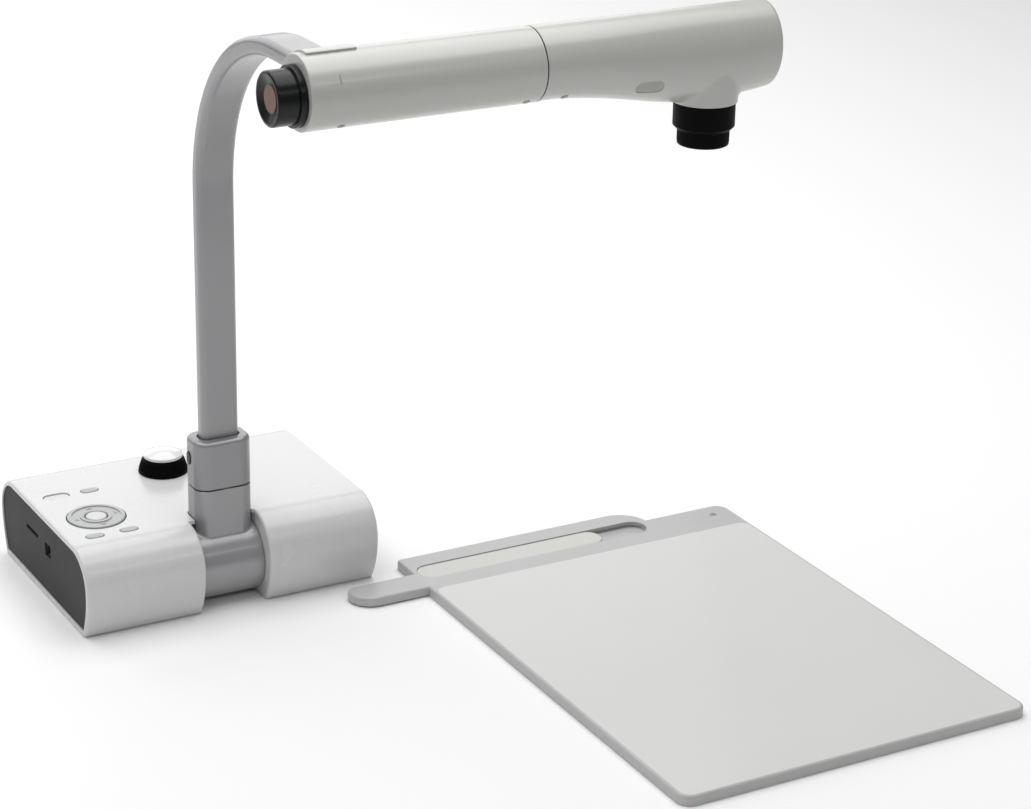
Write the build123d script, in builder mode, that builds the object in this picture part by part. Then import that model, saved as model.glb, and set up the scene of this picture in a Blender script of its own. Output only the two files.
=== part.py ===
from build123d import *
import os
from math import cos, radians, sin

# Document camera on a weighted base, with its loose stage board beside it.
# Millimetres. +Z is up, the user sits on the -Y side, and the origin lies on the resting
# surface under the middle of the base.

os.makedirs("parts", exist_ok=True)

# ---------------------------------------------------------------- driving dimensions
# Base body
base_length = 256
base_front_y = -101
base_back_y = 101
base_height = 72
cover_foot_z = 0.5
foot_front_y = -90
foot_back_y = 92
front_bulge_z = 40
back_bulge_z = 42
wall = 3.0
rim_width = 4.0
floor_rim = 6.0
lip_depth = 1.2
panel_thickness = 4.8
socket_setback = 1.8
panel_fit = 0.2
plate_thickness = 3.0

# Arm hinge barrel between the two halves of the base
arm_x = 3.5
band_x = 1.9
pivot_y = -59.5
pivot_z = 31.5
barrel_radius = 30.6
barrel_half = 27.6
slot_half = 28.2
slot_mouth_y = -67
pocket_back_y = -28.2
neck_gap = 0.7
axle_radius = 6.0
running_fit = 0.05

# Collar and flat arm
collar_width = 49
collar_depth = 33
collar_corner = 12
neck_top_z = 98
collar_bottom_z = 99.2
collar_top_z = 140
spindle_radius = 9
strap_width = 32
strap_thickness = 14
strap_corner = 5
strap_wall = 2
strap_foot_z = 112
bend_radius = 143
bend_z = 349
strap_end_y = -258

# Camera tube, parallel to X in front of the arm
tube_y = -267
tube_z = 478
tube_radius = 28
tube_wall = 2.5
tube_left_x = -21
tube_seam_x = 166
head_start_x = 167.2
head_end_x = 372
lens_x = 320
knob_drop = 2.0

# Control keys on the left of the base
key_x = -90
key_spread = 14.5
upper_key_y = 28
lower_key_y = -59.5
pad_y = -24.8
pad_radius = 23.6
key_gap = 0.5
key_board_z = 60
board_thickness = 1.6
dial_x = -4.5
dial_y = 40.5
dial_radius = 21

# Stage board lying to the right of the base
stage_left_x = 152.5
stage_right_x = 462
stage_front_y = -536
stage_back_y = -108
stage_rear_y = -85
stage_bulge_x = 357
stage_thickness = 8.5
stage_corner = 11
panel_back_y = -150
bar_back_y = -105
bar_front_y = -130
bar_right_x = 332
channel_right_x = 377
tongue_left_x = 88.6
tongue_back_y = -116
tongue_front_y = -144.6
tongue_lift = 1.2
stage_fit = 0.3

# ---------------------------------------------------------------- working planes
arm_plane = Plane(origin=(arm_x, pivot_y, 0), z_dir=(0, 0, 1))
pivot_plane = Plane(origin=(band_x, pivot_y, pivot_z), x_dir=(0, 1, 0), z_dir=(1, 0, 0))
tube_plane = Plane(origin=(0, tube_y, tube_z), x_dir=(0, 1, 0), z_dir=(1, 0, 0))
knob_plane = Plane(origin=(0, tube_y, tube_z - knob_drop), x_dir=(0, 1, 0), z_dir=(1, 0, 0))
lens_plane = Plane(origin=(lens_x, tube_y, 0), z_dir=(0, 0, 1))
strap_top_z = bend_z + bend_radius
strap_plane = Plane(origin=(arm_x, strap_end_y, strap_top_z), x_dir=(1, 0, 0), z_dir=(0, 1, 0))


def base_section(inset):
    """End outline of the base, moved inward by inset."""
    with BuildSketch(Plane.YZ) as section:
        with BuildLine():
            top = Line((base_front_y + 32, base_height), (base_back_y - 30, base_height))
            front_top = TangentArc(top @ 0, (base_front_y, front_bulge_z), tangent=(-1, 0))
            front_low = TangentArc(front_top @ 1, (foot_front_y, cover_foot_z), tangent=(0, -1))
            back_top = TangentArc(top @ 1, (base_back_y, back_bulge_z), tangent=(1, 0))
            back_low = TangentArc(back_top @ 1, (foot_back_y, cover_foot_z), tangent=(0, -1))
            Line(front_low @ 1, back_low @ 1)
        make_face()
        if inset > 0:
            offset(amount=-inset, kind=Kind.INTERSECTION)
    return section.sketch


def head_form(inset, start_x, end_x):
    """Turning head of the tube: round at the seam, deeper towards the lens."""
    profile = (
        (start_x, 0), (190, 0), (222, 3.5), (257, 9.5),
        (292, 15), (322, 15.8), (346, 14), (end_x, 10.5),
    )
    with BuildPart() as form:
        for x, drop in profile:
            with BuildSketch(tube_plane.offset(x)):
                with Locations((0, -drop / 2)):
                    Ellipse(tube_radius - inset, tube_radius + drop / 2 - inset)
        loft()
    return form.part


# ================================================================ BASE: casing
# Pocket between the two halves of the base, open to the front, top and bottom.
with BuildPart() as arm_pocket:
    extrude(base_section(0), amount=slot_half + wall, both=True)
    with BuildSketch(Plane.XY):
        with Locations((0, (base_front_y + pocket_back_y + wall) / 2)):
            Rectangle(2 * (slot_half + wall), pocket_back_y + wall - base_front_y)
    extrude(amount=base_height + 1, mode=Mode.INTERSECT)

# White cover: wraps the top, front and back, with a lip round each end panel.
end_rounding = 2.5
slot_rounding = 2.2
with BuildPart() as upper_cover:
    extrude(base_section(0), amount=base_length / 2, both=True)
    for end_edges in (upper_cover.edges().group_by(Axis.X)[0], upper_cover.edges().group_by(Axis.X)[-1]):
        fillet(end_edges.filter_by(lambda edge: edge.center().Z > 1), radius=end_rounding)
    extrude(
        base_section(wall),
        amount=base_length / 2 - lip_depth,
        both=True,
        mode=Mode.SUBTRACT,
    )
    extrude(base_section(rim_width), amount=base_length / 2, both=True, mode=Mode.SUBTRACT)
    with Locations((0, 1, 0)):
        Box(base_length - 2 * floor_rim, 175, 8, mode=Mode.SUBTRACT)
    with Locations((band_x, 0, 0)):
        add(arm_pocket.part)
    # Pocket under the top skin, and its mouth in front of the arm
    with BuildSketch(Plane.XY):
        with Locations((band_x, (base_front_y - 10 + pocket_back_y) / 2)):
            Rectangle(2 * slot_half, pocket_back_y - base_front_y + 10)
    extrude(amount=base_height - wall, mode=Mode.SUBTRACT)
    with BuildSketch(Plane.XY):
        with Locations((band_x, (base_front_y - 10 + slot_mouth_y) / 2)):
            Rectangle(2 * slot_half, slot_mouth_y - base_front_y + 10)
    extrude(amount=base_height + 1, mode=Mode.SUBTRACT)
    with BuildSketch(arm_plane.offset(base_height - 2 * wall)):
        RectangleRounded(
            collar_width + 2 * neck_gap,
            collar_depth + 2 * neck_gap,
            collar_corner + neck_gap,
        )
        with Locations((0, -10)):
            Rectangle(collar_width + 2 * neck_gap, 20)
    extrude(amount=4 * wall, mode=Mode.SUBTRACT)
    slot_edges = upper_cover.edges().filter_by(
        lambda edge: abs(abs(edge.center().X - band_x) - slot_half) < 0.01
        and edge.geom_type == GeomType.CIRCLE
        and edge.center().Y < slot_mouth_y
    )
    fillet(slot_edges, radius=slot_rounding)
    with BuildSketch(pivot_plane):
        Circle(axle_radius + 0.2)
    extrude(amount=slot_half + wall, both=True, mode=Mode.SUBTRACT)
    # Key openings
    with BuildSketch(Plane.XY.offset(base_height - 2 * wall)):
        with Locations((key_x, pad_y)):
            Circle(pad_radius + 2 * key_gap)
        with Locations((dial_x, dial_y)):
            Circle(10)
        with Locations((key_x - key_spread, upper_key_y)):
            SlotOverall(23, 12)
        with Locations(
            (key_x + key_spread, upper_key_y),
            (key_x - key_spread, lower_key_y),
            (key_x + key_spread, lower_key_y),
        ):
            SlotOverall(16, 9)
    extrude(amount=3 * wall, mode=Mode.SUBTRACT)
upper_cover.part.label = "upper_cover"
export_step(upper_cover.part, "parts/upper_cover.step")

# Bottom plate with standoffs for the main board, cut out round the hinge barrel.
standoffs = [(x, y) for x in (-108, 108) for y in (-14, 80)]
foot_points = [(-106, -72), (106, -72), (-106, 72), (106, 72)]
screw_points = [(-60, -76), (66, -76), (-60, 84), (66, 84), (-114, 10), (114, 10)]
foot_radius = 8
foot_depth = 1.5
main_board_z = 36
with BuildPart() as bottom_plate:
    with BuildSketch():
        with Locations((0, 1)):
            Rectangle(base_length - 2 * floor_rim - 1, 174)
        with Locations((band_x, (base_front_y + pocket_back_y + wall) / 2)):
            Rectangle(
                2 * (slot_half + wall) + 1,
                pocket_back_y + wall - base_front_y + 1,
                mode=Mode.SUBTRACT,
            )
    extrude(amount=plate_thickness)
    with BuildSketch(Plane.XY.offset(plate_thickness)):
        with Locations(*standoffs):
            Circle(4)
    extrude(amount=main_board_z - plate_thickness)
    with BuildSketch():
        with Locations(*foot_points):
            Circle(foot_radius)
    extrude(amount=foot_depth, mode=Mode.SUBTRACT)
    with BuildSketch():
        with Locations(*screw_points):
            Circle(3.5)
    extrude(amount=1.2, mode=Mode.SUBTRACT)
    with BuildSketch():
        with Locations(*screw_points):
            Circle(1.6)
    extrude(amount=plate_thickness, mode=Mode.SUBTRACT)
bottom_plate.part.label = "bottom_plate"
export_step(bottom_plate.part, "parts/bottom_plate.step")

# Rubber pads let into the plate, level with its underside.
with BuildPart() as rubber_feet:
    with BuildSketch():
        with Locations(*foot_points):
            Circle(foot_radius)
    extrude(amount=foot_depth)
rubber_feet.part.label = "rubber_feet"
export_step(rubber_feet.part, "parts/rubber_feet.step")

# Screws that hold the plate, heads sunk in its underside.
with BuildPart() as bottom_screws:
    with BuildSketch(Plane.XY.offset(0.2)):
        with Locations(*screw_points):
            Circle(3.3)
    extrude(amount=1.0)
    with BuildSketch(Plane.XY.offset(1.2)):
        with Locations(*screw_points):
            Circle(1.5)
    extrude(amount=7)
bottom_screws.part.label = "bottom_screws"
export_step(bottom_screws.part, "parts/bottom_screws.step")

# End panels sit behind the lip at each end of the cover.
panel_x = base_length / 2 - lip_depth
socket_x = panel_x - socket_setback
card_y = 27
card_z = 46
usb_y = -9
usb_z = 42.6
with BuildPart() as left_end_panel:
    extrude(base_section(wall + panel_fit), amount=panel_thickness)
    with BuildSketch(Plane.YZ):
        with Locations((card_y, card_z)):
            Rectangle(27, 3.4)
        with Locations((usb_y, usb_z)):
            Rectangle(12.4, 11.4)
    extrude(amount=panel_thickness, mode=Mode.SUBTRACT)
left_end_panel.part.position = (-panel_x, 0, 0)
left_end_panel.part.label = "left_end_panel"
export_step(left_end_panel.part, "parts/left_end_panel.step")

video_y = (10, 50)
hdmi_y = -20
power_y = -50
socket_z = 43
with BuildPart() as right_end_panel:
    extrude(base_section(wall + panel_fit), amount=panel_thickness)
    with BuildSketch(Plane.YZ):
        with Locations(*[(y, socket_z) for y in video_y]):
            Trapezoid(19, 9.4, 80, rotation=180)
        with Locations((hdmi_y, socket_z)):
            Rectangle(16, 6.6)
        with Locations((power_y, socket_z)):
            Circle(5.2)
    extrude(amount=panel_thickness, mode=Mode.SUBTRACT)
right_end_panel.part.position = (panel_x - panel_thickness, 0, 0)
right_end_panel.part.label = "right_end_panel"
export_step(right_end_panel.part, "parts/right_end_panel.step")

# ================================================================ BASE: inside
# Steel plate that keeps the base down.
with BuildPart() as ballast_plate:
    with BuildSketch(Plane.XY.offset(plate_thickness)):
        with Locations((0, 31)):
            RectangleRounded(186, 96, 4)
    extrude(amount=14)
ballast_plate.part.label = "ballast_plate"
export_step(ballast_plate.part, "parts/ballast_plate.step")

# Main circuit board with its larger chips.
board_top_z = main_board_z + board_thickness
with BuildPart() as main_board:
    with BuildSketch(Plane.XY.offset(main_board_z)):
        with Locations((0, 33)):
            Rectangle(240, 106)
        with Locations((102, -44)):
            Rectangle(36, 52)
    extrude(amount=board_thickness)
    with BuildSketch(Plane.XY.offset(board_top_z)):
        with Locations((-20, 40), (40, 45)):
            Rectangle(24, 24)
        with GridLocations(18, 26, 4, 2):
            Rectangle(8, 12)
    extrude(amount=2.4)
main_board.part.label = "main_board"
export_step(main_board.part, "parts/main_board.step")

# Memory card socket behind the left panel.
card_top_z = 50
with BuildPart() as sd_card_socket:
    with Locations((-panel_x + panel_thickness + 14, card_y, (board_top_z + card_top_z) / 2)):
        Box(28, 30, card_top_z - board_top_z)
    with Locations((-panel_x + panel_thickness + 11, card_y, card_z)):
        Box(22.2, 24.6, 2.6, mode=Mode.SUBTRACT)
sd_card_socket.part.label = "sd_card_socket"
export_step(sd_card_socket.part, "parts/sd_card_socket.step")

# Square USB socket with its tongue set back in the mouth.
with BuildPart() as usb_socket:
    with Locations((-socket_x + 9, usb_y, usb_z)):
        Box(18, 12, 10)
    with Locations((-socket_x + 5, usb_y, usb_z)):
        Box(10.2, 8.4, 7.6, mode=Mode.SUBTRACT)
    with Locations((-socket_x + 8, usb_y, usb_z)):
        Box(4.2, 5.6, 3.0)
usb_socket.part.label = "usb_socket"
export_step(usb_socket.part, "parts/usb_socket.step")

# Two fifteen-way video sockets on the right panel.
with BuildPart() as video_sockets:
    with BuildSketch(Plane.YZ.offset(panel_x - panel_thickness - 12)):
        with Locations(*[(y, socket_z) for y in video_y]):
            Rectangle(31, 10.8)
    extrude(amount=11.5)
    with BuildSketch(Plane.YZ.offset(panel_x - panel_thickness - 1)):
        with Locations(*[(y, socket_z) for y in video_y]):
            Trapezoid(18, 8.4, 80, rotation=180)
    extrude(amount=6.5)
video_sockets.part.label = "video_sockets"
export_step(video_sockets.part, "parts/video_sockets.step")

# Flat digital video socket.
with BuildPart() as hdmi_socket:
    with Locations((socket_x - 7.2, hdmi_y, socket_z)):
        Box(12.6, 15, 5.8)
    with Locations((socket_x - 4, hdmi_y, socket_z)):
        Box(6.4, 13.8, 4.6, mode=Mode.SUBTRACT)
    with Locations((socket_x - 5, hdmi_y, socket_z)):
        Box(5.0, 10, 1.2)
hdmi_socket.part.label = "hdmi_socket"
export_step(hdmi_socket.part, "parts/hdmi_socket.step")

# Round power inlet with its centre pin.
with BuildPart() as power_socket:
    with BuildSketch(Plane.YZ.offset(panel_x - panel_thickness - 11)):
        with Locations((power_y, socket_z)):
            Circle(5.1)
            Circle(3.1, mode=Mode.SUBTRACT)
    extrude(amount=13.6)
    with BuildSketch(Plane.YZ.offset(panel_x - panel_thickness - 13)):
        with Locations((power_y, socket_z)):
            Circle(5.1)
    extrude(amount=2)
    with BuildSketch(Plane.YZ.offset(panel_x - panel_thickness - 11)):
        with Locations((power_y, socket_z)):
            Circle(0.8)
    extrude(amount=7)
power_socket.part.label = "power_socket"
export_step(power_socket.part, "parts/power_socket.step")

# Key board: carries a switch under every key, and the dial's encoder on its long leg.
key_points = [
    (key_x - key_spread, upper_key_y),
    (key_x + key_spread, upper_key_y),
    (key_x - key_spread, lower_key_y),
    (key_x + key_spread, lower_key_y),
]
switch_size = 5
switch_height = 1.6
with BuildPart() as key_board:
    with BuildSketch(Plane.XY.offset(key_board_z)):
        with Locations((key_x, -16)):
            Rectangle(60, 124)
        with Locations(((key_x + 12) / 2, dial_y)):
            Rectangle(12 - key_x, 26)
    extrude(amount=board_thickness)
    with BuildSketch(Plane.XY.offset(key_board_z + board_thickness)):
        with Locations(*key_points, (key_x, pad_y)):
            Rectangle(switch_size, switch_size)
        with Locations((key_x, pad_y)):
            with PolarLocations(19, 4):
                Rectangle(switch_size, switch_size)
    extrude(amount=switch_height)
key_board.part.label = "key_board"
export_step(key_board.part, "parts/key_board.step")

# Rotary encoder that the dial turns on.
encoder_top_z = 68.4
with BuildPart() as dial_encoder:
    with BuildSketch(Plane.XY.offset(key_board_z + board_thickness)):
        with Locations((dial_x, dial_y)):
            RectangleRounded(13, 13, 1)
    extrude(amount=encoder_top_z - key_board_z - board_thickness)
    with BuildSketch(Plane.XY.offset(encoder_top_z)):
        with Locations((dial_x, dial_y)):
            Circle(3)
    extrude(amount=6)
dial_encoder.part.label = "dial_encoder"
export_step(dial_encoder.part, "parts/dial_encoder.step")

# ================================================================ BASE: arm hinge
# Bracket plates stand on the bottom plate outside the pocket walls.
bracket_inner = slot_half + wall + 0.1
bracket_thickness = 3
with BuildPart() as hinge_brackets:
    for side in (-1, 1):
        with BuildSketch(pivot_plane.offset(side * (bracket_inner + bracket_thickness / 2))):
            with Locations((0, (plate_thickness - pivot_z + 16) / 2)):
                Rectangle(40, pivot_z + 16 - plate_thickness)
        extrude(amount=bracket_thickness / 2, both=True)
        with BuildSketch(Plane.XY.offset(plate_thickness)):
            with Locations((band_x + side * (bracket_inner + 9), pivot_y)):
                Rectangle(18, 40)
        extrude(amount=bracket_thickness)
    with BuildSketch(pivot_plane):
        Circle(axle_radius)
    extrude(amount=60, both=True, mode=Mode.SUBTRACT)
hinge_brackets.part.label = "hinge_brackets"
export_step(hinge_brackets.part, "parts/hinge_brackets.step")

# Axle with a head on its left end.
bracket_outer = bracket_inner + bracket_thickness
disc_stack = 4.0
with BuildPart() as hinge_axle:
    with BuildSketch(pivot_plane.offset(-bracket_outer)):
        Circle(axle_radius)
    extrude(amount=2 * bracket_outer + disc_stack + 9)
    with BuildSketch(pivot_plane.offset(-bracket_outer - 4)):
        Circle(9)
    extrude(amount=4)
hinge_axle.part.label = "hinge_axle"
export_step(hinge_axle.part, "parts/hinge_axle.step")

# Disc springs that press the hinge together and hold the arm by friction.
with BuildPart() as disc_springs:
    for index in range(4):
        with BuildSketch(pivot_plane.offset(bracket_outer + index * disc_stack / 4)):
            Circle(12 - index % 2)
            Circle(axle_radius, mode=Mode.SUBTRACT)
        extrude(amount=disc_stack / 4 - 0.1)
disc_springs.part.label = "disc_springs"
export_step(disc_springs.part, "parts/disc_springs.step")

with BuildPart() as axle_nut:
    with BuildSketch(pivot_plane.offset(bracket_outer + disc_stack)):
        RegularPolygon(10, 6)
        Circle(axle_radius, mode=Mode.SUBTRACT)
    extrude(amount=6)
axle_nut.part.label = "axle_nut"
export_step(axle_nut.part, "parts/axle_nut.step")

# ================================================================ BARREL
# Hinge barrel with the neck that carries the turning collar.
bush_flange = 2
barrel_wall = 3
hub_radius = 11
bush_outer = 9
cavity_top_z = 67
spindle_bush_radius = 12
with BuildPart() as hinge_barrel:
    with BuildSketch(pivot_plane):
        Circle(barrel_radius)
    extrude(amount=barrel_half, both=True)
    with BuildSketch(arm_plane.offset(pivot_z)):
        RectangleRounded(collar_width, collar_depth, collar_corner)
    extrude(amount=neck_top_z - pivot_z)
    junction = hinge_barrel.edges().filter_by_position(Axis.Z, pivot_z + 20, pivot_z + 31.5)
    fillet(junction, radius=2.5)
    chamfer(hinge_barrel.edges().group_by(Axis.Z)[-1], length=0.6)
    with BuildSketch(pivot_plane):
        Circle(barrel_radius - barrel_wall)
        Circle(hub_radius, mode=Mode.SUBTRACT)
    extrude(amount=barrel_half - barrel_wall, both=True, mode=Mode.SUBTRACT)
    with BuildSketch(pivot_plane):
        Circle(bush_outer)
    extrude(amount=barrel_half, both=True, mode=Mode.SUBTRACT)
    with BuildSketch(arm_plane.offset(pivot_z + 14)):
        Circle(15.5)
    extrude(amount=cavity_top_z - pivot_z - 14, mode=Mode.SUBTRACT)
    with BuildSketch(arm_plane.offset(cavity_top_z)):
        Circle(spindle_bush_radius)
    extrude(amount=neck_top_z - cavity_top_z, mode=Mode.SUBTRACT)
hinge_barrel.part.label = "hinge_barrel"
export_step(hinge_barrel.part, "parts/hinge_barrel.step")

# Bushes pressed into both ends of the barrel.
with BuildPart() as barrel_bushes:
    for start in (-barrel_half, barrel_half - 18):
        with BuildSketch(pivot_plane.offset(start)):
            Circle(bush_outer)
            Circle(axle_radius + running_fit, mode=Mode.SUBTRACT)
        extrude(amount=18)
barrel_bushes.part.label = "barrel_bushes"
export_step(barrel_bushes.part, "parts/barrel_bushes.step")

with BuildPart() as swivel_bush:
    with BuildSketch(arm_plane.offset(cavity_top_z)):
        Circle(spindle_bush_radius)
        Circle(spindle_radius + running_fit, mode=Mode.SUBTRACT)
    extrude(amount=neck_top_z - cavity_top_z)
swivel_bush.part.label = "swivel_bush"
export_step(swivel_bush.part, "parts/swivel_bush.step")

# Low-friction washer in the swivel seam, set back from the outside.
with BuildPart() as swivel_washer:
    with BuildSketch(arm_plane.offset(neck_top_z)):
        Circle(14.5)
        Circle(spindle_radius + running_fit, mode=Mode.SUBTRACT)
    extrude(amount=0.9)
swivel_washer.part.label = "swivel_washer"
export_step(swivel_washer.part, "parts/swivel_washer.step")

# ================================================================ ARM
# Collar that turns with the arm and holds the foot of the strap.
release_y = 3
release_z = 123
release_travel = 2
with BuildPart() as upper_collar:
    with BuildSketch(arm_plane.offset(collar_bottom_z)):
        RectangleRounded(collar_width, collar_depth, collar_corner)
    extrude(amount=collar_top_z - collar_bottom_z)
    fillet(upper_collar.edges().group_by(Axis.Z)[-1], radius=3.5)
    chamfer(upper_collar.edges().group_by(Axis.Z)[0], length=0.6)
    with BuildSketch(arm_plane.offset(collar_bottom_z)):
        Circle(spindle_radius)
    extrude(amount=strap_foot_z - collar_bottom_z, mode=Mode.SUBTRACT)
    with BuildSketch(arm_plane.offset(strap_foot_z)):
        RectangleRounded(strap_width, strap_thickness, strap_corner)
    extrude(amount=collar_top_z - strap_foot_z, mode=Mode.SUBTRACT)
    with BuildSketch(arm_plane.offset(collar_top_z - 4)):
        RectangleRounded(strap_width + 3, strap_thickness + 3, strap_corner + 1.5)
    extrude(amount=5, mode=Mode.SUBTRACT)
    with BuildSketch(Plane(origin=(arm_x - collar_width / 2 - 1, pivot_y + release_y, release_z),
                           x_dir=(0, 1, 0), z_dir=(1, 0, 0))):
        SlotOverall(12, 8, rotation=90)
    extrude(amount=8.4, mode=Mode.SUBTRACT)
upper_collar.part.label = "upper_collar"
export_step(upper_collar.part, "parts/upper_collar.step")

# Release button on the left of the collar, pressed inwards.
with BuildPart() as release_button:
    with BuildSketch(Plane(origin=(arm_x - collar_width / 2 - 0.8, pivot_y + release_y, release_z),
                           x_dir=(0, 1, 0), z_dir=(1, 0, 0))):
        SlotOverall(11.4, 7.4, rotation=90)
    extrude(amount=5.6)
    chamfer(release_button.edges().group_by(Axis.X)[0], length=0.6)
release_button.part.label = "release_button"
export_step(release_button.part, "parts/release_button.step")

# Flat hollow arm: straight post, quarter bend and short reach into the tube.
with BuildPart() as arm_strap:
    with BuildLine() as strap_path:
        post = Line((arm_x, pivot_y, strap_foot_z), (arm_x, pivot_y, bend_z))
        bend = TangentArc(
            post @ 1,
            (arm_x, pivot_y - bend_radius, strap_top_z),
            tangent=(0, 0, 1),
        )
        Line(bend @ 1, (arm_x, strap_end_y, strap_top_z))
    with BuildSketch(arm_plane.offset(strap_foot_z)):
        RectangleRounded(strap_width, strap_thickness, strap_corner)
        RectangleRounded(
            strap_width - 2 * strap_wall,
            strap_thickness - 2 * strap_wall,
            strap_corner - strap_wall,
            mode=Mode.SUBTRACT,
        )
    sweep(path=strap_path.line)
arm_strap.part.label = "arm_strap"
export_step(arm_strap.part, "parts/arm_strap.step")

# Hollow steel spindle that the collar turns on, and the nut under it.
spindle_bottom_z = 56
with BuildPart() as swivel_spindle:
    with BuildSketch(arm_plane.offset(spindle_bottom_z)):
        Circle(spindle_radius)
        Circle(spindle_radius - 2.5, mode=Mode.SUBTRACT)
    extrude(amount=strap_foot_z - spindle_bottom_z)
swivel_spindle.part.label = "swivel_spindle"
export_step(swivel_spindle.part, "parts/swivel_spindle.step")

with BuildPart() as spindle_nut:
    with BuildSketch(arm_plane.offset(cavity_top_z - 7)):
        RegularPolygon(13.5, 6)
        Circle(spindle_radius, mode=Mode.SUBTRACT)
    extrude(amount=6)
spindle_nut.part.label = "spindle_nut"
export_step(spindle_nut.part, "parts/spindle_nut.step")

# Rear tube, closed at its left end, with a mouth for the strap.
shaft_neck = 8
with BuildPart() as rear_tube:
    with BuildSketch(tube_plane.offset(tube_left_x)):
        Circle(tube_radius)
    extrude(amount=tube_seam_x - tube_left_x)
    fillet(rear_tube.edges().group_by(Axis.X)[0], radius=1.2)
    with BuildSketch(tube_plane.offset(tube_left_x + tube_wall)):
        Circle(tube_radius - tube_wall)
    extrude(amount=tube_seam_x - tube_left_x - tube_wall, mode=Mode.SUBTRACT)
    with BuildSketch(knob_plane.offset(tube_left_x)):
        Circle(shaft_neck + running_fit)
    extrude(amount=tube_wall, mode=Mode.SUBTRACT)
    with BuildSketch(strap_plane):
        RectangleRounded(strap_width, strap_thickness, strap_corner)
    extrude(amount=30, mode=Mode.SUBTRACT)
rear_tube.part.label = "rear_tube"
export_step(rear_tube.part, "parts/rear_tube.step")

# Saddle that covers the joint between the strap and the tube.
saddle_rise = 1.6
saddle_left_x = -15
saddle_right_x = 24
with BuildPart() as arm_saddle:
    with BuildSketch(tube_plane.offset(saddle_left_x)):
        with BuildLine():
            outer = CenterArc((0, 0), tube_radius + saddle_rise, 8, 92)
            inner = CenterArc((0, 0), tube_radius, 8, 92)
            Line(outer @ 0, inner @ 0)
            Line(outer @ 1, inner @ 1)
        make_face()
    extrude(amount=saddle_right_x - saddle_left_x)
    with BuildSketch(strap_plane):
        RectangleRounded(strap_width, strap_thickness, strap_corner)
    extrude(amount=30, mode=Mode.SUBTRACT)
arm_saddle.part.label = "arm_saddle"
export_step(arm_saddle.part, "parts/arm_saddle.step")

# Clamp plate under the strap's end inside the tube.
with BuildPart() as arm_anchor:
    with Locations((arm_x, strap_end_y + 8, strap_top_z - strap_thickness / 2 - 1.5)):
        Box(28, 14, 3)
arm_anchor.part.label = "arm_anchor"
export_step(arm_anchor.part, "parts/arm_anchor.step")

# Bearing ring that the head turns on.
bearing_left_x = 148
bearing_right_x = 184
bearing_bore = 22.5
bearing_radius = tube_radius - tube_wall - 0.5
with BuildPart() as bearing_ring:
    with BuildSketch(tube_plane.offset(bearing_left_x)):
        Circle(tube_radius - tube_wall)
        Circle(bearing_bore, mode=Mode.SUBTRACT)
    extrude(amount=tube_seam_x - bearing_left_x)
    with BuildSketch(tube_plane.offset(tube_seam_x)):
        Circle(bearing_radius - running_fit)
        Circle(bearing_bore, mode=Mode.SUBTRACT)
    extrude(amount=bearing_right_x - tube_seam_x)
bearing_ring.part.label = "bearing_ring"
export_step(bearing_ring.part, "parts/bearing_ring.step")

with BuildPart() as seam_washer:
    with BuildSketch(tube_plane.offset(tube_seam_x)):
        Circle(tube_radius - 0.7)
        Circle(bearing_radius - running_fit, mode=Mode.SUBTRACT)
    extrude(amount=0.9)
seam_washer.part.label = "seam_washer"
export_step(seam_washer.part, "parts/seam_washer.step")

# ================================================================ IMAGE KNOB
# Knob on the tube's left end: turns the camera block to set the picture upright.
knob_left_x = -43
knob_step_x = -26.5
knob_gap = 0.6
shaft_right_x = 60
knob_barrel_radius = 20.2
knob_flange_radius = 22.6
dish_radius = 17.6
dish_depth = 2.6
window_radius = 10.2
with BuildPart() as image_knob:
    with BuildSketch(knob_plane.offset(knob_left_x)):
        Circle(knob_barrel_radius)
    extrude(amount=knob_step_x - knob_left_x)
    fillet(image_knob.edges().group_by(Axis.X)[0], radius=1.8)
    with BuildSketch(knob_plane.offset(knob_step_x)):
        Circle(knob_flange_radius)
    extrude(amount=tube_left_x - knob_gap - knob_step_x)
    fillet(image_knob.edges().filter_by_position(Axis.X, knob_step_x, knob_step_x)[0], radius=1)
    # Dished face round the window
    with BuildSketch(knob_plane.offset(knob_left_x)):
        Circle(dish_radius)
    with BuildSketch(knob_plane.offset(knob_left_x + dish_depth)):
        Circle(window_radius + 0.6)
    loft(mode=Mode.SUBTRACT)
    with BuildSketch(knob_plane.offset(knob_left_x + dish_depth)):
        Circle(window_radius)
    extrude(amount=4.4, mode=Mode.SUBTRACT)
    with BuildSketch(knob_plane.offset(tube_left_x - knob_gap)):
        Circle(shaft_neck)
    extrude(amount=knob_gap + tube_wall + 1)
    with BuildSketch(knob_plane.offset(tube_left_x + tube_wall)):
        Circle(4)
    extrude(amount=shaft_right_x - tube_left_x - tube_wall)
image_knob.part.label = "image_knob"
export_step(image_knob.part, "parts/image_knob.step")

with BuildPart() as ir_window:
    with BuildSketch(knob_plane.offset(knob_left_x + dish_depth - 0.4)):
        Circle(window_radius)
    extrude(amount=2.8)
ir_window.part.label = "ir_window"
export_step(ir_window.part, "parts/ir_window.step")

# Zoom camera block looking along the tube at the mirror.
block_right_x = 140
with BuildPart() as camera_block:
    with BuildSketch(knob_plane.offset(shaft_right_x)):
        RectangleRounded(30, 30, 2)
    extrude(amount=block_right_x - shaft_right_x)
    with BuildSketch(knob_plane.offset(block_right_x)):
        Circle(13)
        Circle(10, mode=Mode.SUBTRACT)
    extrude(amount=26)
camera_block.part.label = "camera_block"
export_step(camera_block.part, "parts/camera_block.step")

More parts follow.
